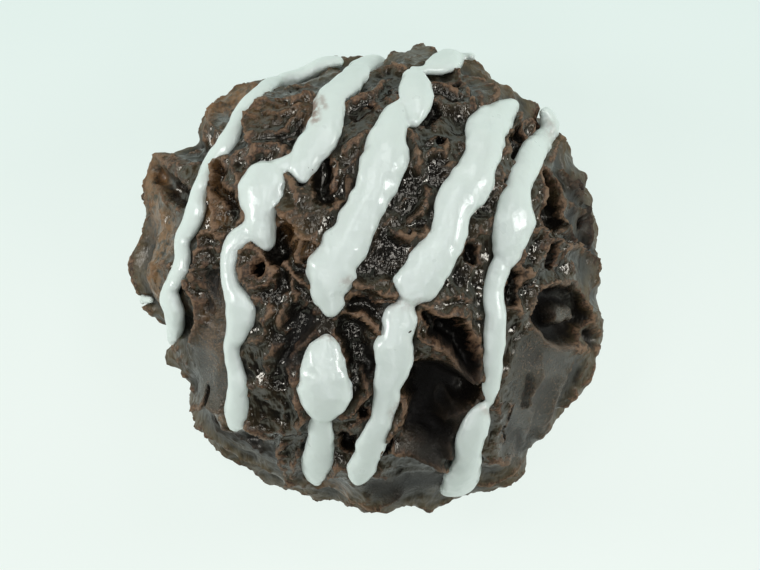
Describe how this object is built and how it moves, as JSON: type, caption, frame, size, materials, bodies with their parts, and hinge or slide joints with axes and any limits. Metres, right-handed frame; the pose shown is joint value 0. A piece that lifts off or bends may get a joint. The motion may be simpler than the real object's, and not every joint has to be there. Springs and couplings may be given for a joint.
{
  "type": "chocolate praline",
  "caption": "Round hand-rolled dark chocolate praline with a craggy coating, a flat base and white icing drizzled across its top.",
  "frame": {"origin": "middle of the praline's bounding box at its flat base", "axes": "+Z is up out of the base; seen from above +X is right and +Y is up in the picture, so the icing runs from the upper right to the lower left"},
  "size_m": [0.0321, 0.0324, 0.0249],
  "materials": {
    "chocolate": "dark chocolate, softly glossy in the hollows and dull on the crests",
    "icing": "glossy white icing"
  },
  "bodies": {
    "root": {"praline": "chocolate"}
  },
  "joints": []
}
